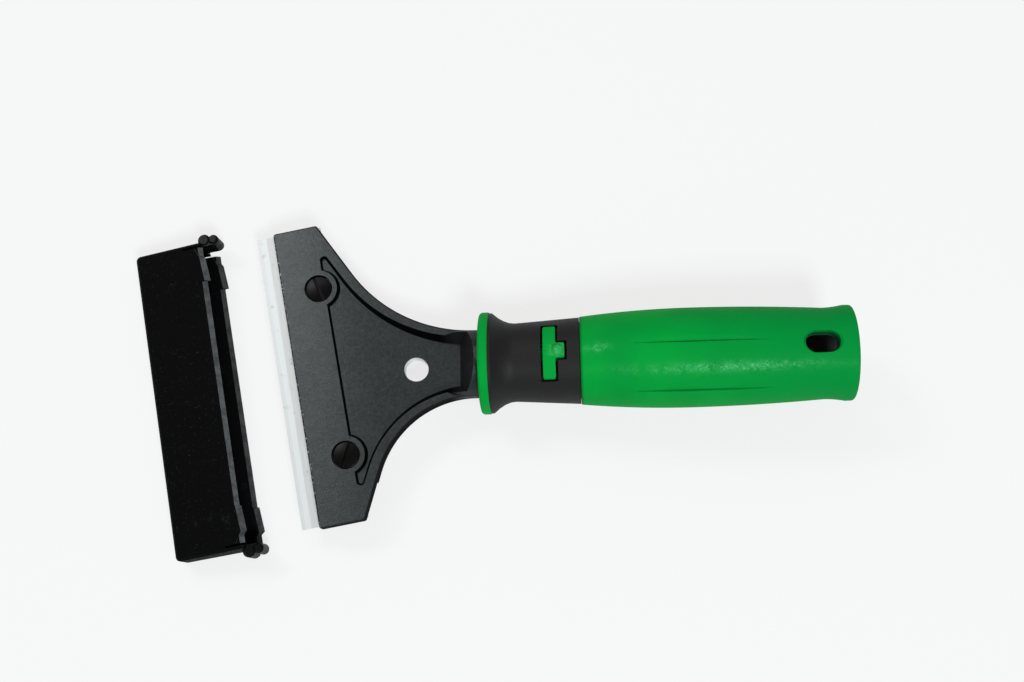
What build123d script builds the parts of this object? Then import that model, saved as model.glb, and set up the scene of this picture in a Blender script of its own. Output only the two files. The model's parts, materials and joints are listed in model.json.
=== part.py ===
from build123d import *
from math import cos, hypot, radians, sin, tan
import os

# A 100 mm blade scraper: a cast head on a round handle, with its blade cap pulled off.
# Everything is drawn level, in the blade's own axes: x square to the blade and towards
# the handle, y along the blade, z up from the handle's axis. Lengths are millimetres.

# How the tool lies
nose_dip = 5.5            # the blade end hangs this many degrees below the handle end
cap_off = 38.5            # how far in front of the head the cap lies

# Blade
blade_length = 100.0
blade_depth = 22.0
blade_thick = 0.5
blade_show = 6.2          # what stands out of the head
blade_shift = 0.6         # the blade sits this far off centre, towards the left flank
bevel_width = 1.3
edge_land = 0.08          # thickness left at the ground edge
notch_width = 5.6
notch_gap = 0.8           # between the end of a notch and the screw's shank

# Head casting
bar_front = -15.7
bar_rear = -0.7
bar_over = 0.5            # the head is this much wider than the blade at each end
bar_top = 2.3
seat_level = -1.0         # the face that the blade lies against
casting_under = 3.0
flank_angle = 64.0
upper_sweep = 50.0        # radius that carries the left flank into the neck
lower_sweep = 33.0
head_bevel = 0.5          # on the plate's upper outer edge
bar_corner = 0.9          # radius of the plate's square corners, seen from above
rim_width = 4.3
recess_front = -0.8
recess_depth = 1.4        # at its front edge
recess_fall = 3.5         # its floor falls this many degrees towards the neck
recess_draft = 26.0
recess_corner = 0.7
neck_face_at = -8.0       # foot of the neck's sloping front face, along the handle
neck_face_lean = 24.0
lobe_radius = 5.8
neck_radius = 11.0
neck_start = -34.0        # where the neck's ridge leaves the plate, along the handle
neck_full = -9.0
neck_plate_end = -1.6
neck_shoulder = 0.4
ridge_tip = 2.0
hole_radius = 4.0
hole_along = -22.5
hole_side = -1.2
step_rear = 4.9           # the step behind the clamp plate

# Tang
tang_width = 12.0
tang_height = 8.0
tang_end = 27.0
tang_round = 1.2
tang_notch = 1.0
tang_end_gap = 0.5

# Clamp
plate_thick = 2.2
plate_margin = 0.8        # the plate's edge lies this far inside the head's
plate_bevel = 0.5
plate_gap = 0.5
boss_radius = 4.3
boss_height = 1.5
screw_x = -3.4
screw_inset = 22.0        # from the end of the head to the screw's middle
screw_radius = 2.0
screw_head_radius = 4.35
screw_head_height = 1.5
screw_edge = 0.25         # chamfer round the top of the screw's head
screw_slot_width = 1.1
screw_slot_depth = 0.8
screw_tip = 0.4           # what stands out under the boss
thread_gap = 0.08
clearance_hole = 0.25
head_gap = 0.35           # round the screw's head
head_sunk = 0.2           # the screw's head lies this far below the bar's top
left_slot_angle = 103.0
right_slot_angle = 65.0

# Handle, along its own axis from the front face of the guard ring's middle
handle_turn = 9.9         # the handle's axis is turned this far off square to the blade
handle_x = 46.3
handle_y = -7.4
handle_roll = 4.0
ring_front = -1.0
ring_rear = 2.2
ring_over = 0.3           # the ring stands this far outside the flange
ring_round = 1.1
spigot_over = 0.2         # the spigot stands this far outside the neck
ring_gap = 0.1
bore_radius = 10.2
bore_bottom = 48.0
bore_chamfer = 0.8
tube_wall = 2.4
tube_end = 117.5
waist_at = 10.5
waist_over = 0.3          # the waist stands this far outside the tube
flare_over = 3.6          # the flange outside the waist
flange_thick = 0.9
seam_at = 31.6
seam_over = 1.6           # the rear end of the waist outside the tube
seam_gap = 0.15
moulded_gap = 0.05
socket_gap = 0.1

# Grip: how thick its green wall is along the handle
grip_start_wall = 1.75
belly_at = 67.0
belly_wall = 3.65
tail_at = 110.0
tail_wall = 2.2
rim_at = 117.6
rim_wall = 3.1
rim_round = 0.9
rim_fall = 0.2
grip_bands = 3            # cones that make up each long curve
flare_bands = 4
rim_bands = 3
edge_bands = 3            # cones that round an outer edge
grip_end = 119.5
grip_mouth = 0.3          # the grip's end stands this far outside the bore
groove_count = 6
groove_depth = 0.55
groove_radius = 1.5
hang_slot_at = 108.2
hang_slot_length = 10.6
hang_slot_width = 6.8

# Latch
bar_at = 21.9
latch_bar = 4.0
latch_half = 8.6
stem_end = 26.8
stem_width = 4.8
latch_gap = 0.75
latch_proud = 0.35
latch_corner = 0.6
latch_depth = 4.8         # its inner face lies this far inside the waist's rear end
pocket_room = 1.0
nub_radius = 2.1
nub_sunk = 0.8            # its middle lies this far inside the waist's rear end
latch_pin_radius = 0.8
latch_pin_over = 2.0      # the pin goes this far into the handle on each side
latch_pin_sunk = 0.2      # under the pocket's floor
hub_wall = 0.8
pin_seat = 0.01
pin_gap = 0.06
arm_reach = 8.0
arm_width = 4.0
arm_thick = 1.6
arm_space = 1.2
tooth_length = 2.2
tooth_bite = 0.6
tooth_gap = 0.3
tooth_swing = 1.0         # room for the tooth to swing forward as it lifts
spring_radius = 1.2
spring_wire = 0.25
spring_length = 3.6
spring_turns = 3
spring_well = 1.8
wire_sides = 5

# Cap
cap_wall = 1.2
cap_nose = 2.0
cap_nose_gap = 0.6
cap_end_wall = 1.1
cap_end_gap = 0.4
cap_upper_depth = 23.3
cap_lower_reach = 2.7     # the lower lip is this much longer
cap_nose_half = 4.4       # half the thickness at the closed edge
cap_bevel = 0.8
cap_corner = 1.6          # radius of the closed edge's corners, seen from above
end_slit = 0.7
end_slit_depth = 6.5
end_arm_low = -4.6
end_arm_high = 3.2
bead_radius = 2.1
bead_ahead = 0.7          # the first bead stands this far past the upper lip
bead_step = 3.1
small_bead = 1.75
bead_over = 0.5           # the beads stand taller than their arm
bead_bevel = 0.7          # at a bead's ends
ear_length = 9.0
ear_slope = 2.0           # an ear is this much shorter at each end where it is farthest out
ear_reach = 1.0
ear_thick = 2.6
ear_proud = 0.35
ear_inset = 8.0           # from the end of the head to the ear's middle

beyond = 200.0            # a cut this long goes right through
past = 1.0                # a cut starts this far outside the face that it opens
fillet_share = 0.95       # a fillet takes up at most this much of the run beside it

bar_half = blade_length / 2 + bar_over
screw_y = bar_half - screw_inset
blade_front = bar_front - blade_show
blade_level = seat_level - blade_thick / 2
plate_top = seat_level - blade_thick
plate_front = bar_front + plate_margin
plate_rear = step_rear - plate_gap
plate_under = plate_top - plate_thick
boss_under = plate_under - boss_height
screw_top = bar_top - head_sunk
screw_seat = screw_top - screw_head_height
floor_front = bar_top - recess_depth
floor_frame = Pos(recess_front, 0, floor_front) * Rot(0, recess_fall, 0)
tang_top = tang_height / 2
tube_radius = bore_radius + tube_wall
spigot_radius = neck_radius + spigot_over
waist_radius = tube_radius + waist_over
flare_radius = waist_radius + flare_over
seam_radius = tube_radius + seam_over
ring_radius = flare_radius + ring_over
grip_inner = tube_radius + moulded_gap
groove_level = grip_inner + belly_wall - groove_depth + groove_radius
latch_inner = seam_radius - latch_depth
pocket_floor = latch_inner - pocket_room
latch_pin_level = pocket_floor - latch_pin_sunk - latch_pin_radius
hub_radius = latch_pin_radius + hub_wall
arm_room = arm_width / 2 + latch_gap
latch_pin_length = 2 * (arm_room + latch_pin_over)
arm_end = bar_at - arm_reach
spring_at = stem_end - spring_well
cap_front = blade_front - cap_nose_gap - cap_nose
cap_inside = cap_front + cap_nose
upper_lip = cap_front + cap_upper_depth
lower_lip = upper_lip + cap_lower_reach
cap_inner_half = bar_half + cap_end_gap
cap_outer_half = cap_inner_half + cap_end_wall
ear_at = bar_half - ear_inset

handle_frame = Pos(handle_x, handle_y, 0) * Rot(0, 0, -handle_turn)
handle_features = handle_frame * Rot(-handle_roll, 0, 0)
latch_pin_frame = Pos(bar_at, 0, latch_pin_level) * Rot(90, 0, 0)
dip = Rot(0, -nose_dip, 0)


def box(x0, x1, y0, y1, z0, z1):
    return Pos((x0 + x1) / 2, (y0 + y1) / 2, (z0 + z1) / 2) * Box(x1 - x0, y1 - y0, z1 - z0)


def rod(radius, z0, z1):
    return Pos(0, 0, (z0 + z1) / 2) * Cylinder(radius, z1 - z0)


def drill(x, y, radius):
    return Pos(x, y, 0) * Cylinder(radius, beyond)


def turned(points):
    # a profile of distance along the x axis and radius, turned about that axis
    return revolve(make_face(Polyline(*points, close=True)), Axis.X)


def curve_of(start, end, bands):
    # points of a parabola that leaves its start level; start and end are (along, radius)
    points = []
    for index in range(bands + 1):
        share = index / bands
        points.append((start[0] + (end[0] - start[0]) * share, start[1] + (end[1] - start[1]) * share ** 2))
    return points


def quarter_turn(along, radius, size, start):
    # points round a circle of this size, a quarter turn clockwise from a heading in degrees
    points = []
    for index in range(edge_bands + 1):
        heading = radians(start - 90 * index / edge_bands)
        points.append((along + size * cos(heading), radius + size * sin(heading)))
    return points


def on_handle(along, side):
    # a point given along and across the handle, in the blade's axes
    spot = (handle_frame * Pos(along, side, 0)).position
    return spot.X, spot.Y


def meet(start, heading, other, other_heading):
    # where two lines cross, each given by a point and a heading in degrees
    ux, uy = cos(radians(heading)), sin(radians(heading))
    vx, vy = cos(radians(other_heading)), sin(radians(other_heading))
    gap_x, gap_y = other[0] - start[0], other[1] - start[1]
    step = (gap_x * vy - gap_y * vx) / (ux * vy - uy * vx)
    return start[0] + step * ux, start[1] + step * uy


def round_corner(face, before, spot, after, radius, turn):
    # rounds one corner of a face, as far as the shorter run beside it allows
    run = min(hypot(spot[0] - end[0], spot[1] - end[1]) for end in (before, after))
    room = fillet_share * run / tan(radians(turn) / 2)
    corner = face.vertices().sort_by_distance((spot[0], spot[1], 0))[0]
    return fillet(corner, min(radius, room))


def fan_outline():
    # the plate seen from above: a square bar, two straight flanks and swept sides to the neck
    left = (bar_rear, bar_half)
    right = (bar_rear, -bar_half)
    neck_left = on_handle(neck_plate_end, neck_radius)
    neck_right = on_handle(neck_plate_end, -neck_radius)
    turn_left = meet(left, -flank_angle, neck_left, -handle_turn)
    turn_right = meet(right, flank_angle, neck_right, -handle_turn)
    corners = [(bar_front, -bar_half), right, turn_right, neck_right,
               neck_left, turn_left, left, (bar_front, bar_half)]
    face = make_face(Polyline(*corners, close=True))
    face = round_corner(face, left, turn_left, neck_left, upper_sweep, flank_angle - handle_turn)
    return round_corner(face, right, turn_right, neck_right, lower_sweep, flank_angle + handle_turn)


def floor_level(x):
    # height of the recess's sloping floor
    return floor_front - (x - recess_front) * tan(radians(recess_fall))


def recess_tool(face):
    # the sunk fan inside the rim, with a lobe of the bar left standing round each screw
    inner = offset(face, -rim_width, kind=Kind.INTERSECTION)
    behind = Pos(recess_front + beyond / 2, 0, 0) * Rectangle(beyond, beyond)
    floor = (inner & behind).faces()[0]
    tips = floor.vertices().sort_by(Axis.Y)
    floor = Pos(-recess_front, 0, 0) * fillet([tips[0], tips[-1]], recess_corner)
    lowest = floor_level(handle_x)
    tool = floor_frame * extrude(floor, neck_radius + past - lowest, dir=(0, 0, 1), taper=-recess_draft)
    lobe_height = bar_top + past - lowest
    lobe_foot = lobe_radius + lobe_height * tan(radians(recess_draft))
    for side in (1, -1):
        lobe = Cone(lobe_foot, lobe_radius, lobe_height)
        tool -= Pos(screw_x, side * screw_y, lowest + lobe_height / 2) * lobe
    foot_level = floor_level(on_handle(neck_face_at, 0)[0])
    neck_face = handle_frame * Pos(neck_face_at, 0, foot_level) * Rot(0, neck_face_lean, 0)
    return tool & neck_face * box(-beyond, 0, -beyond, beyond, -beyond, beyond)


def head_casting():
    face = fan_outline()
    plate = Pos(0, 0, -casting_under) * extrude(face, casting_under + bar_top, dir=(0, 0, 1))
    ends = plate.edges().filter_by(Axis.Z).group_by(Axis.Y)
    plate = fillet(ends[0] + ends[-1], bar_corner)
    top_edges = plate.faces().sort_by(Axis.Z)[-1].edges()
    neck_edge = top_edges.sort_by_distance((*on_handle(neck_plate_end, 0), bar_top))[0]
    plate = chamfer([edge for edge in top_edges if edge != neck_edge], head_bevel)
    ridge = turned([(neck_start, 0), (neck_start, ridge_tip), (neck_full, neck_radius),
                    (neck_shoulder, neck_radius), (neck_shoulder, 0)])
    tang = box(neck_shoulder, tang_end, -tang_width / 2, tang_width / 2, -tang_top, tang_top)
    tang = fillet(tang.edges().filter_by(Axis.X), tang_round)
    tang -= box(arm_end - tooth_swing, arm_end + tooth_length + tooth_gap,
                -tang_width, tang_width, tang_top - tang_notch, tang_top + past)
    body = plate + handle_frame * ridge + handle_features * tang
    body -= recess_tool(face)
    body -= box(bar_front - past, step_rear, -beyond, beyond, -beyond, seat_level)
    hole_x, hole_y = on_handle(hole_along, hole_side)
    body -= drill(hole_x, hole_y, hole_radius)
    for side in (1, -1):
        body -= drill(screw_x, side * screw_y, screw_radius + clearance_hole)
        body -= Pos(screw_x, side * screw_y, 0) * rod(screw_head_radius + head_gap, screw_seat, beyond)
    return body


def blade():
    rear = blade_front + blade_depth
    half = blade_thick / 2
    profile = [(blade_front, -edge_land / 2), (blade_front, edge_land / 2),
               (blade_front + bevel_width, half), (rear, half), (rear, -half),
               (blade_front + bevel_width, -half)]
    sheet = extrude(Plane.XZ * make_face(Polyline(*profile, close=True)), blade_length / 2, both=True)
    for side in (1, -1):
        end = screw_x - screw_radius - notch_gap + notch_width / 2
        middle = side * screw_y - blade_shift
        sheet -= drill(end, middle, notch_width / 2)
        sheet -= box(end, rear + past, middle - notch_width / 2, middle + notch_width / 2, -past, past)
    return Pos(0, blade_shift, blade_level) * sheet


def clamp_plate():
    reach = offset(fan_outline(), -plate_margin, kind=Kind.INTERSECTION)
    reach &= Pos((plate_front + plate_rear) / 2, 0, 0) * Rectangle(plate_rear - plate_front, beyond)
    plate = Pos(0, 0, plate_under) * extrude(reach, plate_thick, dir=(0, 0, 1))
    plate = chamfer(plate.faces().sort_by(Axis.Z)[0].edges(), plate_bevel)
    for side in (1, -1):
        plate += Pos(screw_x, side * screw_y, 0) * rod(boss_radius, boss_under, plate_under)
        plate -= drill(screw_x, side * screw_y, screw_radius + thread_gap)
    return plate


def clamp_screw(side, slot_angle):
    head = rod(screw_head_radius, screw_seat, screw_top)
    head = chamfer(head.edges().group_by(Axis.Z)[-1], screw_edge)
    screw = head + rod(screw_radius, boss_under - screw_tip, screw_seat)
    slot = box(-beyond, beyond, -screw_slot_width / 2, screw_slot_width / 2,
               screw_top - screw_slot_depth, screw_top + past)
    screw -= Rot(0, 0, slot_angle) * slot
    return Pos(screw_x, side * screw_y, 0) * screw


def guard_ring():
    inner = spigot_radius + ring_gap
    rounded = quarter_turn(ring_front + ring_round, ring_radius - ring_round, ring_round, 180)
    outline = [(ring_front, inner), *rounded, (ring_rear, ring_radius), (ring_rear, inner)]
    return handle_frame * turned(outline)


def waist_body(swell=0.0):
    # the black front of the handle, from its flange through the waist to the seam
    flange_rear = (ring_rear + flange_thick, flare_radius + swell)
    flare = curve_of((waist_at, waist_radius + swell), flange_rear, flare_bands)[::-1]
    return turned([(seam_at, 0), (ring_rear, 0), (ring_rear, flare_radius + swell), *flare,
                   (seam_at, seam_radius + swell)])


def tee(grow=0.0):
    # the latch seen from above, in the handle's own axes
    bar = Pos(bar_at, 0) * Rectangle(latch_bar + 2 * grow, 2 * (latch_half + grow))
    stem_length = stem_end + grow - bar_at
    stem = Pos(bar_at + stem_length / 2, 0) * Rectangle(stem_length, stem_width + 2 * grow)
    return bar + stem


def handle_core():
    core = waist_body()
    core += turned([(neck_shoulder, 0), (neck_shoulder, spigot_radius),
                    (ring_rear, spigot_radius), (ring_rear, 0)])
    core += turned([(seam_at, 0), (seam_at, tube_radius), (tube_end, tube_radius), (tube_end, 0)])
    core -= turned([(bore_bottom, 0), (bore_bottom, bore_radius),
                    (tube_end - bore_chamfer, bore_radius),
                    (tube_end, bore_radius + bore_chamfer), (tube_end, 0)])
    socket_half = tang_width / 2 + socket_gap
    core -= box(neck_shoulder - past, tang_end + tang_end_gap, -socket_half, socket_half,
                -tang_top - socket_gap, tang_top + socket_gap)
    core -= extrude(Pos(0, 0, pocket_floor) * tee(latch_gap), beyond, dir=(0, 0, 1))
    core -= box(arm_end - tooth_swing - tooth_gap, bar_at + hub_radius + tooth_gap, -arm_room, arm_room,
                tang_top, latch_inner + arm_space)
    core -= latch_pin_frame * Cylinder(latch_pin_radius + pin_seat, latch_pin_length)
    core -= Pos(spring_at, 0, 0) * rod(spring_well, latch_inner - spring_length, pocket_floor + past)
    return handle_features * (core - hang_slot())


def hang_slot():
    return extrude(Pos(hang_slot_at, 0, 0) * SlotOverall(hang_slot_length, hang_slot_width), beyond,
                   dir=(0, 0, 1))


def grip_sleeve():
    # it swells from the seam to the belly, falls to the tail and flares out to its rim
    front = (seam_at + seam_gap, grip_inner + grip_start_wall)
    belly = (belly_at, grip_inner + belly_wall)
    tail = (tail_at, grip_inner + tail_wall)
    rim = (rim_at, grip_inner + rim_wall)
    mouth = bore_radius + grip_mouth
    rounded = quarter_turn(grip_end - rim_round, rim[1] - rim_fall - rim_round, rim_round, 90)
    outline = curve_of(belly, front, grip_bands)[::-1] + curve_of(belly, tail, grip_bands)[1:]
    outline += curve_of(tail, rim, rim_bands)[1:]
    outline += [*rounded, (grip_end, mouth), (tube_end + moulded_gap, mouth),
                (tube_end + moulded_gap, grip_inner), (front[0], grip_inner)]
    sleeve = turned(outline)
    groove = Pos(belly_at, 0, groove_level) * Rot(0, 90, 0) * Cylinder(groove_radius, beyond)
    for index in range(groove_count):
        sleeve -= Rot(index * 360 / groove_count, 0, 0) * groove
    return handle_features * (sleeve - hang_slot())


def head_latch():
    body = extrude(Pos(0, 0, latch_inner) * tee(), beyond, dir=(0, 0, 1))
    body = fillet(body.edges().filter_by(Axis.Z), latch_corner)
    body &= waist_body(latch_proud)
    body += Pos(stem_end - nub_radius, 0, seam_radius - nub_sunk) * Sphere(nub_radius)
    half = arm_width / 2
    body += latch_pin_frame * Cylinder(hub_radius, arm_width)
    body += box(arm_end, bar_at + hub_radius, -half, half, latch_inner - arm_thick, latch_inner)
    body += box(arm_end, arm_end + tooth_length, -half, half, tang_top - tooth_bite, latch_inner)
    body -= latch_pin_frame * Cylinder(latch_pin_radius + pin_gap, beyond)
    return handle_features * body


def latch_pin():
    return handle_features * latch_pin_frame * Cylinder(latch_pin_radius, latch_pin_length)


def latch_spring():
    coil_height = spring_length - 2 * spring_wire
    path = Helix(coil_height / spring_turns, coil_height, spring_radius)
    section = Plane(origin=path @ 0, z_dir=path % 0) * RegularPolygon(spring_wire, wire_sides)
    place = Pos(spring_at, 0, latch_inner - spring_length + spring_wire)
    return handle_features * place * sweep(section, path)


def table_level():
    # the table's height in the dipped frame, set by the ring's lowest point
    return (dip * guard_ring()).bounding_box().min.Z


def table_under(x):
    # the table's height below a point x of the level frame
    return (table_level() - x * sin(radians(nose_dip))) / cos(radians(nose_dip))


def cap_line(upper, x, inset):
    # height of the cap's top or underside at x; it is thin at its nose and opens by the dip
    rise = (x - cap_front) * tan(radians(nose_dip))
    if upper:
        return blade_level + cap_nose_half + rise - inset
    return table_under(cap_front - cap_off) - rise + inset


def cap_section(x_nose, x_upper, x_lower, inset):
    # the cap seen along the blade: a wedge with its lower lip the longer
    points = [(x_nose, cap_line(False, x_nose, inset)), (x_nose, cap_line(True, x_nose, inset)),
              (x_upper, cap_line(True, x_upper, inset)), (x_lower, cap_line(False, x_lower, inset))]
    return make_face(Plane.XZ * Polyline(*points, close=True))


def cap_ear(upper, lip, proud, middle):
    # a raised pad on a lip: it stands proud of the wall outside and inside, and past the lip
    x0, x1 = lip - ear_thick, lip + ear_reach
    inner = cap_wall + ear_proud
    points = [(x0, cap_line(upper, x0, -proud)), (x1, cap_line(upper, x1, -proud)),
              (x1, cap_line(upper, x1, inner)), (x0, cap_line(upper, x0, inner))]
    face = make_face(Plane.XZ * Polyline(*points, close=True))
    half = ear_length / 2
    outline = Polyline((x0, -half), (x0, half), (x1, half - ear_slope), (x1, ear_slope - half), close=True)
    pad = extrude(face, half, both=True) & extrude(make_face(outline), beyond, both=True)
    return Pos(0, middle, 0) * pad


def cap_bead(x, y, radius):
    # a round post with bevelled ends
    post = rod(radius, end_arm_low - bead_over, end_arm_high + bead_over)
    return Pos(x, y, 0) * chamfer(post.edges().filter_by(GeomType.CIRCLE), bead_bevel)


def cap_slice(side, x0, x1, y0, y1, z0, z1):
    # a block at one end of the cap, given outward from the middle
    return box(x0, x1, *sorted((side * y0, side * y1)), z0, z1)


def blade_cap():
    shell = extrude(cap_section(cap_front, upper_lip, lower_lip, 0), cap_outer_half, both=True)
    shell = fillet(shell.edges().filter_by(Axis.Z), cap_corner)
    shell = chamfer(shell.edges().filter_by(Axis.Y).group_by(Axis.X)[0], cap_bevel)
    shell -= extrude(cap_section(cap_inside, upper_lip + beyond, lower_lip + beyond, cap_wall),
                     cap_inner_half, both=True)
    big_x = upper_lip + bead_ahead
    small_x = big_x + bead_step
    slit_from = upper_lip - end_slit_depth
    slit_half = cap_inner_half - end_slit
    for side in (1, -1):
        shell -= cap_slice(side, slit_from, lower_lip + past, slit_half, cap_inner_half, -beyond, beyond)
        shell -= cap_slice(side, upper_lip - bead_over, lower_lip + past, cap_inner_half,
                           cap_outer_half + past, -beyond, beyond)
        shell += cap_slice(side, slit_from, small_x, cap_inner_half, cap_outer_half,
                           end_arm_low, end_arm_high)
        shell += cap_bead(big_x, side * (cap_inner_half + bead_radius), bead_radius)
        shell += cap_bead(small_x, side * (cap_inner_half + small_bead), small_bead)
        shell += cap_ear(True, upper_lip, ear_proud, side * ear_at)
        shell += cap_ear(False, lower_lip, 0, side * ear_at)
    return Pos(-cap_off, 0, 0) * shell


parts = {
    "head_casting": head_casting(),
    "blade": blade(),
    "clamp_plate": clamp_plate(),
    "clamp_screw_left": clamp_screw(1, left_slot_angle),
    "clamp_screw_right": clamp_screw(-1, right_slot_angle),
    "guard_ring": guard_ring(),
    "handle_core": handle_core(),
    "grip_sleeve": grip_sleeve(),
    "head_latch": head_latch(),
    "latch_pin": latch_pin(),
    "latch_spring": latch_spring(),
    "blade_cap": blade_cap(),
}
dipped = [dip * solid for solid in parts.values()]
spans = [solid.bounding_box() for solid in dipped]
middle_x = (min(span.min.X for span in spans) + max(span.max.X for span in spans)) / 2
middle_y = (min(span.min.Y for span in spans) + max(span.max.Y for span in spans)) / 2
lowest = min(span.min.Z for span in spans)
stand = Pos(-middle_x, -middle_y, -lowest)

os.makedirs("parts", exist_ok=True)
for name, solid in zip(parts, dipped):
    export_step(stand * solid, f"parts/{name}.step")
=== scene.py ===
import bpy
import bmesh
import json
import numpy as np
from mathutils import Matrix, Vector


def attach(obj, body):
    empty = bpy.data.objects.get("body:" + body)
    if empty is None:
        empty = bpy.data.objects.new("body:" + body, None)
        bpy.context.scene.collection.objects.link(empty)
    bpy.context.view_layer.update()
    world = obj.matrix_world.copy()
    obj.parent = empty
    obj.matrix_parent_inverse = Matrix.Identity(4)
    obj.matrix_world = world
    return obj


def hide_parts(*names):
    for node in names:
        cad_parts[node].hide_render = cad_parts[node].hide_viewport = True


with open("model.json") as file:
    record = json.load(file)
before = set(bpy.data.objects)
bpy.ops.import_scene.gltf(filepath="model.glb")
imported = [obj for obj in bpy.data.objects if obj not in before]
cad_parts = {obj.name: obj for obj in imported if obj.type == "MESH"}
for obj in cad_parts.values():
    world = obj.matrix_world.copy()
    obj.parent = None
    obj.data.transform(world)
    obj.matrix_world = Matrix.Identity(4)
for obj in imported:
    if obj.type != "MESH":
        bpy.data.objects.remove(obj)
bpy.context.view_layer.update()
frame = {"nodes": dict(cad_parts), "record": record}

mm = 0.001
record = frame["record"]
jointOf = {joint["name"]: joint for joint in record["behaviour"]["joints"]}
mountOf = {mount["name"]: mount for mount in record["mounts"]}


def unit(vector):
    vector = np.asarray(vector, float)
    return vector / np.linalg.norm(vector)


class Axes:
    # a right-handed set of axes with an origin, in the shared frame
    def __init__(self, origin, along, across):
        self.origin = np.asarray(origin, float)
        self.along = unit(along)
        self.up = unit(np.cross(self.along, across))
        self.across = np.cross(self.up, self.along)

    def place(self, points):
        # millimetres along, across and up become metres in the shared frame
        grid = np.asarray(points, float) * mm
        return (self.origin + grid[..., :1] * self.along + grid[..., 1:2] * self.across
                + grid[..., 2:3] * self.up)

    def read(self, points):
        # the other way round: metres in the shared frame become millimetres in these axes
        return (points - self.origin) @ np.stack([self.along, self.across, self.up], axis=1) / mm


# The blade's axes lie in the blade's plane and run towards the handle; they start this far behind
# the two clamp screws
axesBehind = 3.4
screwSpots = [np.array(jointOf[name]["pos_m"]) for name in ("left_screw_turn", "right_screw_turn")]
screwMiddle = (screwSpots[0] + screwSpots[1]) / 2
bladeAhead = unit(jointOf["cap_push_on"]["axis"])
bladeAxes = Axes(screwMiddle + axesBehind * mm * bladeAhead, bladeAhead, screwSpots[0] - screwSpots[1])

# The handle's axes start at the guard ring, this far in front of the pole socket's mouth
ringToMouth = 116.7
handleAlong = unit(mountOf["pole_socket"]["axis"])
handleAlong = handleAlong * np.sign(np.dot(handleAlong, bladeAhead))
handleAxes = Axes(np.array(mountOf["pole_socket"]["pos_m"]) - ringToMouth * mm * handleAlong,
                  handleAlong, jointOf["latch_press"]["axis"])
print("axes read from the frame")


class Wire:
    # one output of a shader node; arithmetic on it adds Math nodes to the same tree
    def __init__(self, finish, socket):
        self.finish = finish
        self.socket = socket

    def maths(self, operation, *values):
        return self.finish.add("Math", {"operation": operation}, dict(enumerate(values)))

    def __add__(self, other):
        return self.maths("ADD", self, other)

    def __sub__(self, other):
        return self.maths("SUBTRACT", self, other)

    def __rsub__(self, other):
        return self.maths("SUBTRACT", other, self)

    def __mul__(self, other):
        return self.maths("MULTIPLY", self, other)

    def __truediv__(self, other):
        return self.maths("DIVIDE", self, other)

    __radd__ = __add__
    __rmul__ = __mul__

    def between(self, low, high):
        # 0 at low, 1 at high and smooth in between; low may be the larger number
        return self.finish.add("MapRange", {"interpolation_type": "SMOOTHSTEP"},
                               {"Value": self, "From Min": low, "From Max": high})


class Finish:
    # a material under construction
    def __init__(self, name):
        self.material = bpy.data.materials.new(name)
        self.material.use_nodes = True
        self.tree = self.material.node_tree
        self.tree.nodes.clear()
        self.spot = self.add("TexCoord", output="Object")

    def add(self, kind, settings=None, inputs=None, output=0):
        # any node by its type, with its settings first and then values or links for its sockets
        node = self.tree.nodes.new("ShaderNode" + kind)
        for name, value in (settings or {}).items():
            setattr(node, name, value)
        for name, value in (inputs or {}).items():
            if isinstance(value, Wire):
                self.tree.links.new(value.socket, node.inputs[name])
            else:
                node.inputs[name].default_value = value
        return None if output is None else Wire(self, node.outputs[output])

    def noise(self, cells, detail, rough=0.5, stretch=(1, 1, 1)):
        # cells counts the pattern's bumps in a millimetre
        grown = self.add("VectorMath", {"operation": "MULTIPLY"}, {0: self.spot, 1: stretch})
        return self.add("TexNoise", None, {"Vector": grown, "Scale": cells / mm, "Detail": detail,
                                           "Roughness": rough})

    def spots(self, cells, detail, rough, low, high):
        # the same pattern in sharp patches: 0 where it is below low and 1 above high
        return self.noise(cells, detail, rough).between(low, high)

    def ahead(self):
        # millimetres along the blade's plane, counted as in the blade's axes
        reach = self.add("VectorMath", {"operation": "DOT_PRODUCT"},
                         {0: self.spot, 1: tuple(bladeAxes.along)}, output="Value")
        return reach / mm - float(bladeAxes.origin @ bladeAxes.along) / mm

    def facing(self, way):
        # 1 where the surface looks the given way, 0 where it stands square to that
        normal = self.add("NewGeometry", output="Normal")
        return self.add("VectorMath", {"operation": "DOT_PRODUCT"},
                        {0: normal, 1: tuple(way)}, output="Value")

    def weight(self, name):
        # a number that the piece's mesh carries
        return self.add("Attribute", {"attribute_name": name}, output="Fac")

    def mix(self, share, first, second):
        # 0 gives the first colour and 1 the second
        return self.add("Mix", {"data_type": "RGBA"}, {"Factor": share, 6: first, 7: second}, output=2)

    def blend(self, share, first, second):
        # the same for two shaders
        return self.add("MixShader", None, {0: share, 1: first, 2: second})

    def bump(self, height, depth, strength, below=None):
        # height runs from 0 to 1 and stands for depth millimetres
        inputs = {"Height": height, "Distance": depth * mm, "Strength": strength}
        if below is not None:
            inputs["Normal"] = below
        return self.add("Bump", None, inputs)

    def shine(self, **values):
        # values name the shader's sockets, with underscores for their spaces
        inputs = {name.replace("_", " "): value for name, value in values.items()}
        return self.add("BsdfPrincipled", None, inputs)

    def done(self, shader):
        self.add("OutputMaterial", None, {"Surface": shader}, output=None)
        return self.material


def rgb(red, green, blue):
    # sRGB values out of 255 become linear ones
    share = np.array([red, green, blue]) / 255
    linear = np.where(share <= 0.04045, share / 12.92, ((share + 0.055) / 1.055) ** 2.4)
    return (*(float(value) for value in linear), 1.0)


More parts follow.
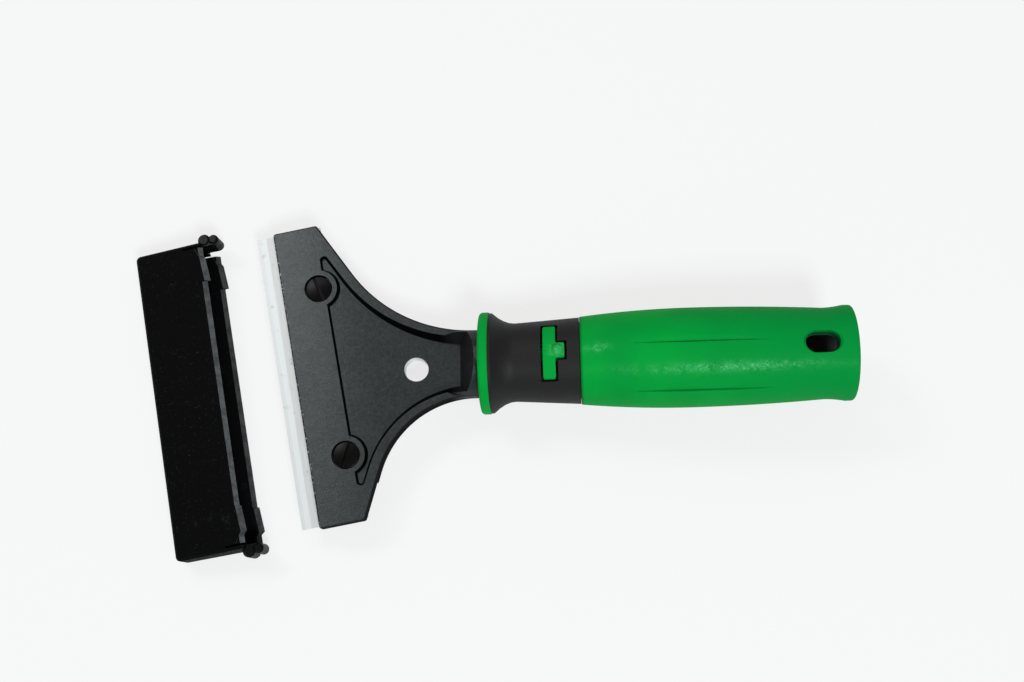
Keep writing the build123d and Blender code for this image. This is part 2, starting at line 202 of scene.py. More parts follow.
# A look's rows of five numbers are spots: cells in a millimetre, detail, roughness and two thresholds.
# Plain noise goes without the thresholds; front, neck, rear, rearward and edge are places in the
# blade's axes, which the colour or the sheen changes between
# deep, the matt black's two shares and dim set painted shade: near-black steep walls and flats darkening
# towards the handle
castLook = {"paint": rgb(24, 27, 27), "shade": rgb(4, 6, 7), "deep": rgb(1, 1, 1),
            "chip": rgb(205, 210, 212), "bareLit": rgb(250, 250, 250), "tint": (0.9, 0.98, 1.0, 1.0),
            "broad": (0.08, 4, 0.5, 0.35, 0.7), "scuffs": (0.55, 5, 0.75, 0.66, 0.76),
            "mottle": (1.0, 5, 0.8, 0.42, 0.6), "patch": (0.4, 5, 0.62), "grain": (2.4, 3, 0.6),
            "fine": (6.5, 2), "flakes": (1.1, 2), "waves": (0.3, 1), "pits": 0.13, "swell": 0.09,
            "rough": (0.28, 0.44), "steep": (0.93, 0.55), "front": (-14.5, -15.4), "neck": (39, 33),
            "rear": (-15.4, 12.6), "paintedShade": 0.9, "wallShade": (0.42, 0.58), "dim": 0.4, "mottled": 0.14}


def castPaint():
    # black paint over a casting: grained and a little wavy on its flats; duller and darker towards the
    # handle and near-black in its steep walls, which is painted shade; chipped in specks along its front
    # edge and gone from the through hole's wall, which is painted near-white as bare metal and painted
    # light
    look = castLook
    finish = Finish("castPaint")
    ahead = finish.ahead()
    level = finish.facing(bladeAxes.up)
    bareLit = finish.weight("bareLit")
    patch = finish.noise(*look["patch"])
    grain = finish.noise(*look["grain"])
    fine = finish.noise(*look["fine"])
    steep = level.between(*look["steep"])
    scuffs = finish.spots(*look["scuffs"]) * fine.between(0.5, 0.62)
    flakes = 0.5 * ahead.between(*look["front"]) + finish.noise(*look["flakes"])
    chips = flakes.between(1.02, 1.06) * level.between(0.3, 0.6)
    shade = 0.5 * finish.spots(*look["broad"]) + 0.5 * patch.between(0.4, 0.62)
    colour = finish.mix(shade, look["paint"], look["shade"])
    # the steep walls are painted near-black: painted shade
    colour = finish.mix(steep, colour, look["deep"])
    colour = finish.mix(scuffs * 0.35 + chips * 0.8, colour, look["chip"])
    # the through hole's wall is painted near-white: bare metal and painted light
    colour = finish.mix(bareLit, colour, look["bareLit"])
    low, high = look["rough"]
    rough = (0.4 * grain + 0.6 * patch) * (high - low) + low + 0.2 * steep
    wavy = finish.bump(finish.noise(*look["waves"]), look["swell"], 0.6)
    paint = finish.shine(Base_Color=colour, Roughness=rough, Metallic=0.3 * bareLit,
                         Specular_IOR_Level=0.85, Specular_Tint=look["tint"],
                         Normal=finish.bump(grain + 0.5 * fine, look["pits"], 0.6, wavy))
    # a matt black without any sheen is painted shade: it takes over in the steep walls and, in part, on
    # the flats, more towards the handle and in random patches
    paintedShade = finish.add("BsdfDiffuse", None, {"Color": look["deep"]})
    least, more = look["wallShade"]
    walls = look["paintedShade"] * steep * (least + more * ahead.between(*look["neck"]))
    flats = look["dim"] * ahead.between(*look["rear"]) + look["mottled"] * finish.spots(*look["mottle"])
    return finish.done(finish.blend((walls + (1 - steep) * flats) * (1 - bareLit), paint, paintedShade))


capLook = {"black": rgb(3, 3, 3), "worn": rgb(60, 61, 63), "lip": rgb(88, 89, 90),
           "grain": (1.5, 4, 0.65), "fine": (5.0, 2), "wear": (0.16, 5, 0.7, 0.58, 0.7),
           "specks": (2.1, 2, 0.5, 0.68, 0.73), "patches": (0.3, 4, 0.65, 0.35, 0.65), "depth": 0.07}


def capPlastic():
    # coarse spark-eroded plastic with pale specks that are painted glints of its grain, worn in small
    # patches and paler on the lips' edges, which is painted light on their slants, less on the lower lip
    # as painted shade
    look = capLook
    finish = Finish("capPlastic")
    grain = finish.noise(*look["grain"])
    fine = finish.noise(*look["fine"])
    wear = finish.spots(*look["wear"]) * grain.between(0.5, 0.62)
    # the pale specks are painted glints of the spark-eroded grain
    colour = finish.mix(wear * 0.3 + finish.spots(*look["specks"]) * 0.5, look["black"], look["worn"])
    # painted light on the lips' slanted edges, broken up in patches
    lip = finish.weight("lip") * (0.5 + 0.5 * finish.spots(*look["patches"]))
    colour = finish.mix(lip, colour, look["lip"])
    plastic = finish.shine(Base_Color=colour, Roughness=0.8 - 0.25 * grain, Specular_IOR_Level=0.05,
                           Coat_Weight=0.22 * finish.weight("bead"), Coat_Roughness=0.2,
                           Normal=finish.bump(grain + 0.3 * fine, look["depth"], 0.9))
    return finish.done(plastic)


greenLook = {"green": rgb(0, 150, 54), "deep": rgb(0, 139, 52), "rear": rgb(0, 134, 54),
             "worn": rgb(48, 165, 88), "rub": rgb(125, 205, 150), "shadeAndGrime": rgb(0, 84, 32),
             "grain": (3.2, 3, 0.6), "broad": (0.05, 3, 0.5, 0.3, 0.7),
             "patches": (0.3, 3, 0.6, 0.35, 0.6), "specks": (1.5, 4, 0.75, 0.48, 0.66),
             "rearShade": (90, 160), "depth": 0.02}


def greenPlastic():
    # moulded green plastic, satin, darker down in the creases and at the front edge with painted shade and
    # some grime, darker towards the rear end as painted shade, and rubbed paler where it is held, which
    # also paints its highlight band
    look = greenLook
    finish = Finish("greenPlastic")
    grain = finish.noise(*look["grain"])
    rubbedAndSheen = finish.weight("rubbedAndSheen")
    patches = finish.spots(*look["patches"])
    specks = finish.spots(*look["specks"]) * rubbedAndSheen
    colour = finish.mix(finish.spots(*look["broad"]), look["green"], look["deep"])
    # darker towards the rear end: painted shade
    colour = finish.mix(finish.ahead().between(*look["rearShade"]), colour, look["rear"])
    # rubbed patches and pale specks, partly wear and partly a painted highlight band along the grip
    colour = finish.mix(rubbedAndSheen * patches * 0.6, colour, look["worn"])
    colour = finish.mix(specks * patches * 0.32, colour, look["rub"])
    # painted shade with some grime in the creases and round the front edge
    colour = finish.mix(finish.weight("shadeAndGrime"), colour, look["shadeAndGrime"])
    plastic = finish.shine(Base_Color=colour, Roughness=0.5 + 0.14 * grain, Specular_IOR_Level=0.04,
                           Coat_Weight=0.2 * specks, Coat_Roughness=0.3,
                           Normal=finish.bump(grain, look["depth"], 0.5))
    return finish.done(plastic)


handleLook = {"black": rgb(24, 23, 23), "warm": rgb(28, 25, 24), "rub": rgb(70, 70, 71),
              "lining": rgb(0, 82, 48), "broad": (0.09, 4, 0.6), "grain": (2.8, 3, 0.6),
              "specks": (1.6, 4, 0.7, 0.66, 0.74), "depth": 0.025}


def handlePlastic():
    # black moulded plastic with a soft sheen, rubbed dull and a little brown by hands
    look = handleLook
    finish = Finish("handlePlastic")
    broad = finish.noise(*look["broad"])
    grain = finish.noise(*look["grain"])
    colour = finish.mix(broad.between(0.35, 0.65), look["black"], look["warm"])
    colour = finish.mix(finish.spots(*look["specks"]) * 0.35, colour, look["rub"])
    colour = finish.mix(finish.weight("lined"), colour, look["lining"])
    plastic = finish.shine(Base_Color=colour, Roughness=0.42 + 0.2 * broad + 0.1 * grain,
                           Specular_IOR_Level=0.18, Normal=finish.bump(grain, look["depth"], 0.6))
    return finish.done(plastic)


screwLook = {"dark": rgb(5, 4, 3), "pale": rgb(11, 11, 11), "grain": (4.0, 3), "depth": 0.02}


def screwBlack():
    # oiled black steel
    look = screwLook
    finish = Finish("screwBlack")
    grain = finish.noise(*look["grain"])
    colour = finish.mix(grain.between(0.4, 0.75), look["dark"], look["pale"])
    steel = finish.shine(Base_Color=colour, Roughness=0.24 + 0.14 * grain, Specular_IOR_Level=0.09,
                         Normal=finish.bump(grain, look["depth"], 0.6))
    return finish.done(steel)


plateLook = {"dark": rgb(38, 39, 40), "pale": rgb(52, 53, 55), "grain": (3.0, 3),
             "streaks": (0.6, 4, 0.6, (1, 0.06, 1)), "depth": 0.02}


def plateBlack():
    # thin satin paint over rolled steel
    look = plateLook
    finish = Finish("plateBlack")
    grain = finish.noise(*look["grain"])
    streaks = finish.noise(*look["streaks"])
    colour = finish.mix(streaks.between(0.4, 0.7), look["dark"], look["pale"])
    paint = finish.shine(Base_Color=colour, Roughness=0.38 + 0.2 * grain,
                         Normal=finish.bump(grain, look["depth"], 0.6))
    return finish.done(paint)


bladeLook = {"dark": rgb(194, 196, 194), "pale": rgb(210, 212, 210), "ground": rgb(222, 224, 224),
             "spot": rgb(150, 158, 160), "scratches": (5.0, 3, 0.6, (1, 0.02, 1)),
             "dull": (0.3, 4, 0.65, 0.58, 0.72), "edge": (-18.6, -18.9), "depth": 0.006}


def bladeSteel():
    # steel with fine scratches along the blade, a few dull spots and a paler ground edge, which is partly
    # a painted highlight along the cutting edge
    look = bladeLook
    finish = Finish("bladeSteel")
    scratch = finish.noise(*look["scratches"])
    dull = finish.spots(*look["dull"])
    colour = finish.mix(scratch.between(0.3, 0.8), look["dark"], look["pale"])
    # the paler ground edge is partly a painted highlight
    colour = finish.mix(finish.ahead().between(*look["edge"]) * 0.7, colour, look["ground"])
    colour = finish.mix(dull * 0.3, colour, look["spot"])
    steel = finish.shine(Base_Color=colour, Metallic=0.6, Roughness=0.5 + 0.14 * scratch + 0.12 * dull,
                         Normal=finish.bump(scratch, look["depth"], 0.5))
    return finish.done(steel)


wireLook = {"dark": rgb(170, 172, 175), "pale": rgb(205, 207, 210), "drawn": (6.0, 2)}


def wireSteel():
    # bright drawn wire
    look = wireLook
    finish = Finish("wireSteel")
    drawn = finish.noise(*look["drawn"])
    colour = finish.mix(drawn, look["dark"], look["pale"])
    return finish.done(finish.shine(Base_Color=colour, Metallic=1.0, Roughness=0.22 + 0.12 * drawn))


looks = {"cast_black": castPaint(), "cap_black": capPlastic(), "grip_green": greenPlastic(),
         "handle_black": handlePlastic(), "screw_black": screwBlack(), "plate_black": plateBlack(),
         "blade_steel": bladeSteel(), "steel_wire": wireSteel()}
slotOf = {part["node"]: part["material_slot"] for part in record["subparts"]}
bodyOf = {node: body for body, nodes in record["behaviour"]["bodies"].items() for node in nodes}
print("finishes mixed:", len(looks))


def newPiece(name, mesh, node):
    # a finished mesh becomes a piece that stands for a CAD node
    piece = bpy.data.objects.new(name, mesh)
    bpy.context.scene.collection.objects.link(piece)
    mesh.materials.clear()
    mesh.materials.append(looks[slotOf[node]])
    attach(piece, bodyOf[node])
    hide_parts(node)
    return piece


def softened(node, name, settings, shape=None):
    # a copy of a CAD node's mesh, merged, its flat faces joined and its sharp edges rounded; the
    # settings are millimetres and degrees, and shape may change the mesh before the rounding
    mesh = frame["nodes"][node].data.copy()
    mesh.name = name
    work = bmesh.new()
    work.from_mesh(mesh)
    bmesh.ops.remove_doubles(work, verts=work.verts, dist=2e-6)
    bmesh.ops.dissolve_limit(work, angle_limit=np.radians(settings["flat"]), verts=work.verts,
                             edges=work.edges)
    work.to_mesh(mesh)
    work.free()
    if shape:
        shape(mesh)
    mesh.shade_smooth()
    mesh.set_sharp_from_angle(angle=np.radians(settings["sharp"]))
    piece = newPiece(name, mesh, node)
    bevel = piece.modifiers.new("edges", "BEVEL")
    bevel.width = settings["round"] * mm
    bevel.segments = settings["steps"]
    bevel.limit_method = "ANGLE"
    bevel.angle_limit = np.radians(settings["sharp"])
    bevel.use_clamp_overlap = True
    flatten = piece.modifiers.new("flats", "WEIGHTED_NORMAL")
    flatten.keep_sharp = True


def gridFaces(rows, columns, closeAcross=False, closeAlong=False, first=0):
    # the quads of a grid of points, numbered row by row; either way round may be closed
    index = first + np.arange(rows * columns).reshape(rows, columns)
    if closeAlong:
        index = np.vstack([index, index[:1]])
    if closeAcross:
        index = np.hstack([index, index[:, :1]])
    corners = [index[:-1, :-1], index[1:, :-1], index[1:, 1:], index[:-1, 1:]]
    return np.stack(corners, axis=-1).reshape(-1, 4)


def makeMesh(name, points, faces, sharp):
    # a smooth mesh whose edges above the sharp angle, in degrees, stay crisp
    mesh = bpy.data.meshes.new(name)
    mesh.from_pydata(points.reshape(-1, 3).tolist(), [], faces.tolist())
    work = bmesh.new()
    work.from_mesh(mesh)
    bmesh.ops.remove_doubles(work, verts=work.verts, dist=1e-6)
    bmesh.ops.recalc_face_normals(work, faces=work.faces)
    work.to_mesh(mesh)
    work.free()
    mesh.shade_smooth()
    mesh.set_sharp_from_angle(angle=np.radians(sharp))
    return mesh


def turned(axes, profile, steps):
    # each point of the profile, distance along and radius, carried round the axis
    angle = np.linspace(0, 2 * np.pi, steps, endpoint=False)
    along, radius = np.asarray(profile, float).T
    spot = np.stack([np.broadcast_to(along[:, None], (len(along), steps)),
                     radius[:, None] * np.sin(angle), radius[:, None] * np.cos(angle)], axis=-1)
    return axes.place(spot)


def arcPoints(middle, radius, start, end, count):
    # points of a circle from one angle to another, in degrees
    angle = np.radians(np.linspace(start, end, count))
    return np.stack([middle[0] + radius * np.cos(angle), middle[1] + radius * np.sin(angle)], axis=-1)


def paintWeight(mesh, name, values, domain="POINT"):
    # a number at every vertex or face, which the finishes read by its name
    layer = mesh.attributes.new(name, "FLOAT", domain)
    layer.data.foreach_set("value", np.asarray(values, np.float32))


def vertexSpots(mesh):
    spots = np.empty(len(mesh.vertices) * 3)
    mesh.vertices.foreach_get("co", spots)
    return spots.reshape(-1, 3)


def faceNumbers(mesh, kind):
    # every face's normal or centre
    found = np.empty(len(mesh.polygons) * 3)
    mesh.polygons.foreach_get(kind, found)
    return found.reshape(-1, 3)


def hill(values, middle, spread):
    # 1 at the middle, falling away smoothly over the spread
    return np.exp(-((values - middle) / spread) ** 2)


ringShape = {"front": -1.0, "rear": 2.2, "radius": 16.8, "bore": 11.3, "round": 1.2, "back": 0.35,
             "steps": 192, "sharp": 40}


def guardRing():
    # a flat ring whose outline is well rounded in front and barely behind
    s = ringShape
    front = (s["front"] + s["round"], s["radius"] - s["round"])
    rear = (s["rear"] - s["back"], s["radius"] - s["back"])
    outline = np.vstack([[(s["front"], s["bore"])], arcPoints(front, s["round"], 180, 90, 12),
                         arcPoints(rear, s["back"], 90, 0, 5), [(s["rear"], s["bore"])]])
    points = turned(handleAxes, outline, s["steps"])
    faces = gridFaces(len(outline), s["steps"], closeAcross=True, closeAlong=True)
    newPiece("guardRing", makeMesh("guardRing", points, faces, s["sharp"]), "guard_ring")


gripShape = {"front": 31.75, "frontRadius": 14.4, "belly": 67.0, "bellyRadius": 16.3, "tail": 110.0,
             "tailRadius": 14.85, "rim": 117.6, "rimRadius": 15.75, "end": 119.46, "endRadius": 15.55,
             "edge": 0.9, "lead": 0.25, "mouth": 10.5, "stop": 117.55, "inner": 12.65, "steps": 720,
             "step": 0.8, "sharp": 35, "creases": 6, "creaseTurn": 3.5, "creaseDepth": 0.6,
             "steep": 1.7, "gentle": 0.3, "uncutRows": 8, "slotAt": 108.2, "slotLength": 11.0,
             "slotWidth": 7.2, "slotEdge": (14.4, 0.9)}


def parabola(values, level, levelRadius, end, endRadius):
    # runs level at one place and reaches another radius at the other
    return levelRadius + (endRadius - levelRadius) * ((values - level) / (end - level)) ** 2


def gripRadius(along):
    # up to the belly, down to the tail and out to the rim
    s = gripShape
    rise = parabola(along, s["belly"], s["bellyRadius"], s["front"], s["frontRadius"])
    fall = parabola(along, s["belly"], s["bellyRadius"], s["tail"], s["tailRadius"])
    flare = parabola(along, s["tail"], s["tailRadius"], s["rim"], s["rimRadius"])
    return np.where(along < s["belly"], rise, np.where(along < s["tail"], fall, flare))


def creaseMap(spots):
    # each point's radius, and its distance round the grip from the nearest crease
    s = gripShape
    radius = np.hypot(spots[..., 1], spots[..., 2])
    turn = np.degrees(np.arctan2(spots[..., 1], spots[..., 2])) - s["creaseTurn"]
    gap = 360 / s["creases"]
    return radius, ((turn + gap / 2) % gap - gap / 2) * np.pi / 180 * radius


def gripSleeve():
    # a turned sleeve with creases along it, an end turned in round the socket's mouth and a slot
    # to hang it by
    s = gripShape
    along = np.arange(s["front"] + s["lead"], s["rim"], s["step"])
    outer = np.stack([along, gripRadius(along)], axis=-1)
    front = arcPoints((s["front"] + s["lead"], s["frontRadius"] - s["lead"]), s["lead"], 180, 100, 4)
    rear = arcPoints((s["end"] - s["edge"], s["endRadius"] - s["edge"]), s["edge"], 80, 0, 9)
    inside = [(s["end"], s["mouth"]), (s["stop"], s["mouth"]), (s["stop"], s["inner"]),
              (s["front"], s["inner"])]
    profile = np.vstack([front, outer, rear, inside])
    spots = handleAxes.read(turned(handleAxes, profile, s["steps"]))
    # a crease is a V with one steep and one gentle side; its floor keeps level, so it ends where
    # the swelling grip drops below that level
    radius, aside = creaseMap(spots)
    slope = np.where(aside > 0, s["gentle"], s["steep"])
    cut = np.clip(radius - s["bellyRadius"] + s["creaseDepth"] - np.abs(aside) * slope, 0, None)
    cut[:len(front)] = 0
    cut[len(front) + len(outer) - s["uncutRows"]:] = 0
    spots[..., 1:] *= (1 - cut / radius)[..., None]
    faces = gridFaces(len(profile), s["steps"], closeAcross=True, closeAlong=True)
    mesh = makeMesh("gripSleeve", handleAxes.place(spots), faces, s["sharp"])
    level, flare = s["slotEdge"]
    levels = [(0, 0), (level, 0), (level + 2, 2 * flare)]
    mesh = pierced(mesh, handleAxes, s["slotAt"], s["slotLength"], s["slotWidth"], levels)
    paintGripWearShadeAndSheen(mesh)
    newPiece("gripSleeve", mesh, "grip_sleeve")


def pierced(mesh, axes, middle, length, width, levels, steps=33):
    # cuts a round-ended slot through a mesh; levels are heights over the axis with the flare there,
    # and steps are the points of each round end
    half = (length - width) / 2
    count = 2 * steps
    rings = []
    for level, flare in levels:
        ends = [arcPoints((middle + half, 0), width / 2 + flare, -90, 90, steps),
                arcPoints((middle - half, 0), width / 2 + flare, 90, 270, steps)]
        rings.append(np.column_stack([np.vstack(ends), np.full(count, level)]))
    faces = gridFaces(len(rings), count, closeAcross=True).tolist()
    ends = [list(range(count))[::-1], list(range(count * (len(rings) - 1), count * len(rings)))]
    plug = bpy.data.meshes.new("plug")
    plug.from_pydata(axes.place(np.vstack(rings)).tolist(), [], faces + ends)
    plug.update()
    work = bmesh.new()
    work.from_mesh(plug)
    bmesh.ops.recalc_face_normals(work, faces=work.faces)
    work.to_mesh(plug)
    work.free()
    cutter = bpy.data.objects.new("plug", plug)
    blank = bpy.data.objects.new("blank", mesh)
    for thing in (cutter, blank):
        bpy.context.scene.collection.objects.link(thing)
    carve = blank.modifiers.new("carve", "BOOLEAN")
    carve.operation = "DIFFERENCE"
    carve.object = cutter
    carve.solver = "EXACT"
    evaluated = blank.evaluated_get(bpy.context.evaluated_depsgraph_get())
    result = bpy.data.meshes.new_from_object(evaluated)
    for thing in (cutter, blank):
        bpy.data.objects.remove(thing)
    result.name = mesh.name
    return result


gripWearShadeAndSheen = {"bandTurn": (27, 5.5), "bandAlong": (77, 27), "patchTurn": (0, 6), "patchAlong": (37.4, 3.4),
            "patch": 1.3, "floorShadeAndGrime": 0.8, "floorShadeAndGrimeWidth": 0.35, "frontWidth": 0.4}


def paintGripWearShadeAndSheen(mesh):
    # hands have rubbed the grip in a band between two creases and in a patch near the front, and the band
    # also paints the grip's highlight; painted shade with some grime lies at the bottom of each crease and
    # round the grip's front edge
    s = gripShape
    w = gripWearShadeAndSheen
    spots = handleAxes.read(vertexSpots(mesh))
    along = spots[:, 0]
    turn = np.degrees(np.arctan2(-spots[:, 1], spots[:, 2]))
    # the band lies where the grip's highlight falls: painted highlight, partly wear
    band = hill(turn, *w["bandTurn"]) * hill(along, *w["bandAlong"])
    patch = w["patch"] * hill(turn, *w["patchTurn"]) * hill(along, *w["patchAlong"])
    paintWeight(mesh, "rubbedAndSheen", np.clip(band + patch, 0, 1))
    radius, aside = creaseMap(spots)
    outside = (radius > s["inner"] + 1) & (along < s["tail"])
    deep = np.clip((gripRadius(along) - radius) / s["creaseDepth"], 0, 1) * outside
    floorShadeAndGrime = w["floorShadeAndGrime"] * deep * hill(aside, 0, w["floorShadeAndGrimeWidth"])
    paintWeight(mesh, "shadeAndGrime", np.clip(floorShadeAndGrime + hill(along, s["front"], w["frontWidth"]), 0, 1))


screwShape = {"radius": 4.35, "top": 2.1, "seat": 0.6, "crown": 0.42, "edge": 0.18, "slotHalf": 0.55,
              "slotFloor": 1.3, "shank": 2.0, "tip": -5.6, "chamfer": 0.3, "point": 0.01, "columns": 41,
              "rows": 10, "crowd": 0.7, "shoulder": 0.3, "steps": 48, "sharp": 30,
              "turn": {"left": 103.0, "right": 65.0}}


def slottedScrew(side, spot):
    # the head is one sheet: over the rim, in to the slot, across its floor and out again; its rows
    # crowd towards the rim, which a shoulder rounds
    s = screwShape
    axes = Axes(spot, bladeAxes.along, bladeAxes.across)
    spread = np.arccos(s["slotHalf"] / s["radius"])
    share = np.linspace(-1, 1, s["columns"])
    edge = np.stack([share * s["radius"] * np.sin(spread), np.full_like(share, s["slotHalf"])], axis=-1)
    way = np.stack([np.sin(share * spread), np.cos(share * spread)], axis=-1)
    inward = (np.linspace(1, 0, s["rows"]) ** s["crowd"])[:, None, None]
    face = (1 - inward) * edge + inward * way * (s["radius"] - s["edge"])
    height = s["top"] - s["crown"] * (np.linalg.norm(face, axis=-1) / s["radius"]) ** 2
    crest = height[0, 0]
    shoulder = s["shoulder"] * s["edge"]
    rim = [(s["radius"], s["seat"]), (s["radius"], crest - s["edge"]),
           (s["radius"] - shoulder, crest - shoulder)]
    rows = [np.column_stack([way * reach, np.full(len(way), level)]) for reach, level in rim]
    rows += [np.column_stack([line, level]) for line, level in zip(face, height)]
    rows += [np.column_stack([edge, np.full(len(edge), s["slotFloor"])])]
    near = np.stack(rows)
    far = (near * [1, -1, 1])[::-1]
    turn = np.radians(s["turn"][side])
    spin = np.array([[np.cos(turn), np.sin(turn), 0], [-np.sin(turn), np.cos(turn), 0], [0, 0, 1]])
    head = axes.place(np.concatenate([near, far]) @ spin)
    faces = gridFaces(len(head), s["columns"])
    # two small faces close the head's side under the ends of the slot
    last = (len(head) - 1) * s["columns"]
    floorNear, floorFar = (len(near) - 1) * s["columns"], len(near) * s["columns"]
    ends = [[at, floorNear + at, floorFar + at, last + at] for at in (0, s["columns"] - 1)]
    upright = Axes(spot, bladeAxes.up, bladeAxes.along)
    profile = [(s["seat"], s["radius"]), (s["seat"], s["shank"]), (s["tip"] + s["chamfer"], s["shank"]),
               (s["tip"], s["shank"] - s["chamfer"]), (s["tip"], s["point"])]
    shank = turned(upright, profile, s["steps"])
    shankFaces = gridFaces(len(profile), s["steps"], closeAcross=True, first=len(head) * s["columns"])
    points = np.vstack([head.reshape(-1, 3), shank.reshape(-1, 3)])
    mesh = makeMesh("clampScrew." + side, points, np.vstack([faces, ends, shankFaces]), s["sharp"])
    newPiece("clampScrew." + side, mesh, "clamp_screw_" + side)


nubWearAndSheen = {"at": 24.7, "radius": 2.3, "level": 13.0}


def paintLatchWearAndSheen(mesh):
    # the latch's thumb nub is rubbed paler, partly a painted highlight
    spots = handleAxes.read(vertexSpots(mesh))
    reach = np.hypot(spots[:, 0] - nubWearAndSheen["at"], spots[:, 1])
    paintWeight(mesh, "rubbedAndSheen", (reach < nubWearAndSheen["radius"]) & (spots[:, 2] > nubWearAndSheen["level"]))


slotLining = {"halfLength": 5.6, "halfWidth": 3.6, "from": 9.0, "upright": 0.5}


def lineSlot(mesh):
    # the hanging slot's wall in the tube is lined with green
    middles = handleAxes.read(faceNumbers(mesh, "center"))
    ways = np.abs(faceNumbers(mesh, "normal") @ handleAxes.up)
    away = np.abs(middles[:, :2] - [gripShape["slotAt"], 0])
    inside = (away[:, 0] < slotLining["halfLength"]) & (away[:, 1] < slotLining["halfWidth"])
    wall = (middles[:, 2] > slotLining["from"]) & (ways < slotLining["upright"])
    paintWeight(mesh, "lined", inside & wall, "FACE")


holeMargin = 0.05


def bareLitHole(mesh):
    # the through hole's wall is bare metal, painted near-white as painted light
    hole = mountOf["head_hole"]
    away = faceNumbers(mesh, "center") - np.array(hole["pos_m"])
    reach = np.linalg.norm(np.cross(away, bladeAxes.up), axis=1) / mm
    paintWeight(mesh, "bareLit", reach < hole["dims"]["r_mm"] + holeMargin, "FACE")


capShape = {"upperLip": -39.7, "lowerLip": -37.0, "upperLevel": 5.394, "lowerLevel": -8.512, "wall": 1.2,
            "opens": 5.5, "slant": 1.25, "ramp": 2.6, "half": 50.25, "earAt": 42.5, "earHalf": 4.5,
            "earReach": 1.0, "earSlope": 2.0, "middleSide": (4.5, 0.25), "cornerSide": (7.6, 3.6),
            "earTip": (0.9, 0.6), "tipFrom": 0.05, "table": 0.002, "margin": 0.01, "deepest": 1.3,
            "lipFrom": -42.7, "beadFrom": -41.2, "lowerLipLight": 0.6}


def shapeCap(mesh):
    # the lips end in slants that look up, and each ear runs on to the cap's end and slopes there
    s = capShape
    spots = bladeAxes.read(vertexSpots(mesh))
    ahead, side, level = spots.T.copy()
    rise = np.tan(np.radians(s["opens"]))
    run = ahead - s["upperLip"]
    for lip, outer, sign in ((s["upperLip"], s["upperLevel"] + run * rise, 1),
                             (s["lowerLip"], s["lowerLevel"] - run * rise, -1)):
        past = ahead - lip
        near = (level * sign > 0) & (np.abs(side) < s["half"]) & (past > -s["ramp"] - s["margin"])
        depth = (outer - level) * sign / s["wall"]
        pulled = depth if sign < 0 else 1 - depth
        back = s["slant"] * np.clip(pulled, 0, s["deepest"]) * np.clip(past / s["ramp"] + 1, 0, 1)
        aside = np.abs(side) - s["earAt"]
        pad = near & (np.abs(aside) < s["earHalf"] + s["margin"])
        share = (past + s["ramp"]) / (s["ramp"] + s["earReach"])
        half, slope = [np.where(aside < 0, *pair) for pair in zip(s["middleSide"], s["cornerSide"])]
        grown = aside * (half - slope * share) / (s["earHalf"] - s["earSlope"] * share)
        spots[:, 1] = np.where(pad, np.sign(side) * (s["earAt"] + grown), spots[:, 1])
        # the ears' tips stand further out towards one side of the cap
        leaning = s["earTip"][0] - s["earTip"][1] * (side - np.sign(side) * s["earAt"]) / s["earHalf"]
        spots[:, 0] += np.where(pad & (past > s["tipFrom"]), past * (leaning - 1), 0)
        spots[:, 0] -= np.where(near, back, 0)
        spots[:, 2] -= np.where(near, sign * back * rise, 0)
    # the lower ears lie flat on the table
    points = bladeAxes.place(spots)
    points[:, 2] = np.maximum(points[:, 2], s["table"] * mm)
    mesh.vertices.foreach_set("co", points.ravel())
    mesh.update()
    ahead, side, level = bladeAxes.read(faceNumbers(mesh, "center")).T
    within = np.abs(side) < s["half"]
    facing = faceNumbers(mesh, "normal") @ bladeAhead > 0.5
    lip = facing & within & (ahead > s["lipFrom"])
    # the lips' slants are painted paler as painted light, the lower one less as painted shade
    paintWeight(mesh, "lip", lip * np.where(level > 0, 1.0, s["lowerLipLight"]), "FACE")
    paintWeight(mesh, "bead", ~within & (ahead > s["beadFrom"]), "FACE")


softened("head_casting", "castHead", {"round": 0.3, "steps": 3, "flat": 1.0, "sharp": 28}, bareLitHole)
softened("blade", "scraperBlade", {"round": 0.03, "steps": 1, "flat": 0.5, "sharp": 30})
softened("clamp_plate", "clampPlate", {"round": 0.2, "steps": 2, "flat": 1.0, "sharp": 30})
softened("handle_core", "handleCore", {"round": 0.2, "steps": 2, "flat": 0.5, "sharp": 30}, lineSlot)
softened("latch_pin", "latchPin", {"round": 0.1, "steps": 2, "flat": 1.0, "sharp": 30})
softened("head_latch", "headLatch", {"round": 0.22, "steps": 3, "flat": 1.0, "sharp": 30}, paintLatchWearAndSheen)
softened("blade_cap", "bladeCap", {"round": 0.25, "steps": 3, "flat": 0.4, "sharp": 25}, shapeCap)
guardRing()
gripSleeve()
for side, spot in zip(("left", "right"), screwSpots):
    slottedScrew(side, spot)

# the spring deforms in MuJoCo, so it keeps its CAD mesh and only gets its finish
springMaterials = frame["nodes"]["latch_spring"].data.materials
springMaterials.clear()
springMaterials.append(looks["steel_wire"])
print("pieces made")

floorLook = {"pale": (0.88, 0.88, 0.88, 1.0), "glow": (0.92, 0.918, 0.915, 1.0), "share": 0.8, "half": 4.0}


def studioFloor():
    # a white table, which is mostly a plain even white where the camera sees it directly
    s = floorLook
    half = s["half"]
    mesh = bpy.data.meshes.new("studioFloor")
    mesh.from_pydata([(-half, -half, 0), (half, -half, 0), (half, half, 0), (-half, half, 0)], [],
                     [(0, 1, 2, 3)])
    floor = bpy.data.objects.new("studioFloor", mesh)
    bpy.context.scene.collection.objects.link(floor)
    finish = Finish("paleTable")
    matt = finish.add("BsdfDiffuse", None, {"Color": s["pale"]})
    glow = finish.add("Emission", None, {"Color": s["glow"], "Strength": 1.0})
    seen = finish.add("LightPath", output="Is Camera Ray") * s["share"]
    mesh.materials.append(finish.done(finish.blend(seen, matt, glow)))


studioFloor()

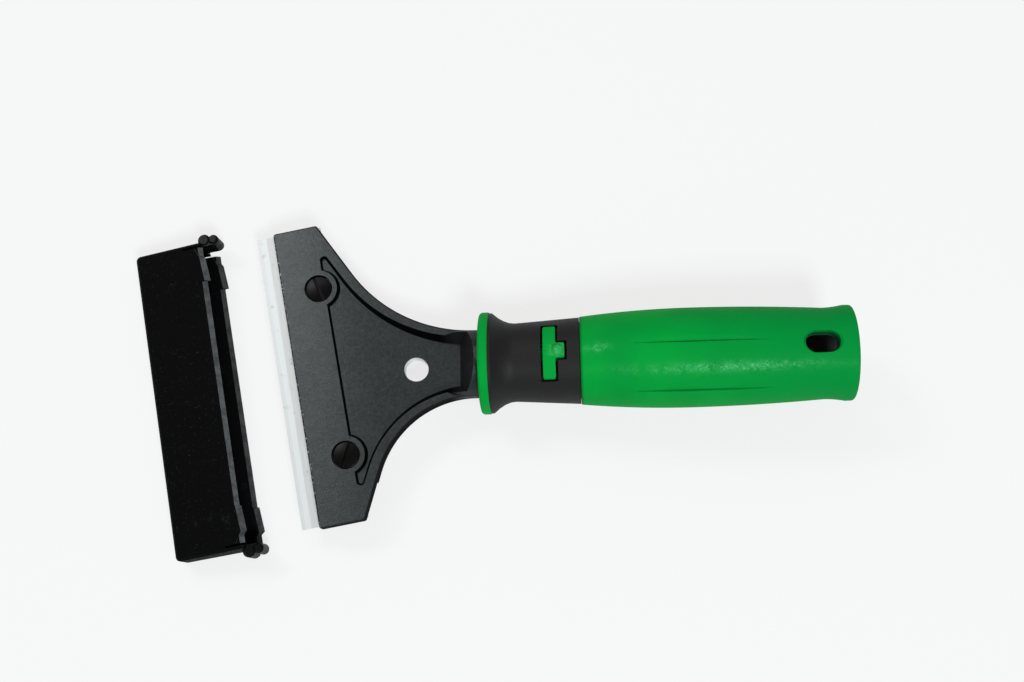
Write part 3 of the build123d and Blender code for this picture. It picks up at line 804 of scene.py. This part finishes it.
# The left lamp stands at the upper left of the picture, the near one at its lower side and the sky
# lamp, which is wide and soft, beyond its upper side
lampLooks = {
    "leftLamp": {"spot": (-0.62, 0.62, 1.05), "size": 0.3, "watts": 4.8, "tint": (1.0, 1.0, 1.0)},
    "nearLamp": {"spot": (0.1, -0.75, 1.1), "size": 0.34, "watts": 12.0, "tint": (0.88, 0.97, 1.0)},
    "skyLamp": {"spot": (-0.16, 0.92, 1.2), "size": 0.65, "watts": 3.1, "tint": (1.0, 1.0, 1.0)},
}


def studioLamps():
    for name, s in lampLooks.items():
        lamp = bpy.data.lights.new(name, "AREA")
        lamp.energy = s["watts"]
        lamp.color = s["tint"]
        lamp.size = s["size"]
        holder = bpy.data.objects.new(name, lamp)
        bpy.context.scene.collection.objects.link(holder)
        holder.location = s["spot"]
        holder.rotation_euler = (-Vector(s["spot"])).to_track_quat("-Z", "Y").to_euler()


studioLamps()

worldLook = {"strength": 0.3, "sky": (1.0, 1.0, 1.0, 1.0)}


def studioWorld():
    # an even pale room that the camera sees as white
    world = bpy.data.worlds.new("paleRoom")
    bpy.context.scene.world = world
    world.use_nodes = True
    nodes = world.node_tree.nodes
    links = world.node_tree.links
    nodes.clear()
    path = nodes.new("ShaderNodeLightPath")
    room = nodes.new("ShaderNodeBackground")
    room.inputs["Color"].default_value = worldLook["sky"]
    room.inputs["Strength"].default_value = worldLook["strength"]
    white = nodes.new("ShaderNodeBackground")
    white.inputs["Strength"].default_value = 1.0
    blend = nodes.new("ShaderNodeMixShader")
    out = nodes.new("ShaderNodeOutputWorld")
    links.new(path.outputs["Is Camera Ray"], blend.inputs[0])
    links.new(room.outputs[0], blend.inputs[1])
    links.new(white.outputs[0], blend.inputs[2])
    links.new(blend.outputs[0], out.inputs["Surface"])


studioWorld()

# The camera looks down at the tool from a place counted from the middle between the screws
cameraLook = {"from": (28.85, -97.46, 424.58), "ahead": (0.07212, 0.22212, -0.97235),
              "up": (0.17699, 0.95657, 0.23164), "focus": 1304.0, "width": 1024.0, "sensor": 36.0}


def photoCamera():
    s = cameraLook
    lens = bpy.data.cameras.new("photoCamera")
    lens.sensor_fit = "HORIZONTAL"
    lens.sensor_width = s["sensor"]
    lens.lens = s["focus"] / s["width"] * s["sensor"]
    lens.clip_start = 0.01
    holder = bpy.data.objects.new("photoCamera", lens)
    bpy.context.scene.collection.objects.link(holder)
    back = -unit(s["ahead"])
    right = unit(np.cross(s["up"], back))
    above = np.cross(back, right)
    spot = screwMiddle + np.array(s["from"]) * mm
    rows = [[right[row], above[row], back[row], spot[row]] for row in range(3)]
    holder.matrix_world = Matrix(rows).to_4x4()
    bpy.context.scene.camera = holder


photoCamera()
bpy.context.scene.view_settings.view_transform = "Standard"
print("studio set")
